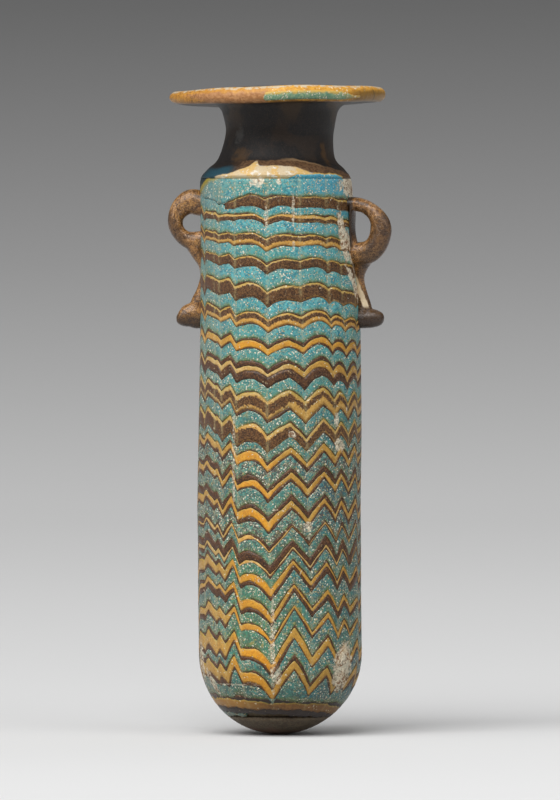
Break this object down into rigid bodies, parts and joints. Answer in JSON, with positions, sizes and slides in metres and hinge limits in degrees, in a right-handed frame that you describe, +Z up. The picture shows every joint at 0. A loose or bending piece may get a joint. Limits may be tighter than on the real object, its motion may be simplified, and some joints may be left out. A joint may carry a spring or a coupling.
{
  "type": "alabastron",
  "caption": "Tall core-formed glass alabastron: broad rim disc, short neck, straight body with a rounded base, two lug handles and combed trails in zigzags.",
  "frame": {"origin": "lowest point of the rounded base, on the body's axis", "axes": "+Z up the body's axis towards the mouth, -Y the front that the picture shows, +X to the viewer's right"},
  "size_m": [0.0547, 0.0532, 0.16],
  "materials": {
    "ground_glass": "gloss",
    "handle_glass": "gloss",
    "turquoise_glass": "satin",
    "yellow_glass": "satin",
    "brown_glass": "satin"
  },
  "bodies": {
    "root": {"vessel_wall": "ground_glass", "base_disc": "ground_glass", "rim_disc": "ground_glass", "turquoise_trail": "turquoise_glass", "yellow_trail": "yellow_glass", "brown_trail_lower": "brown_glass", "brown_trail_upper": "brown_glass", "rim_yellow_trail": "yellow_glass", "rim_turquoise_trail": "turquoise_glass", "handle_left": "handle_glass", "handle_right": "handle_glass"}
  },
  "joints": []
}
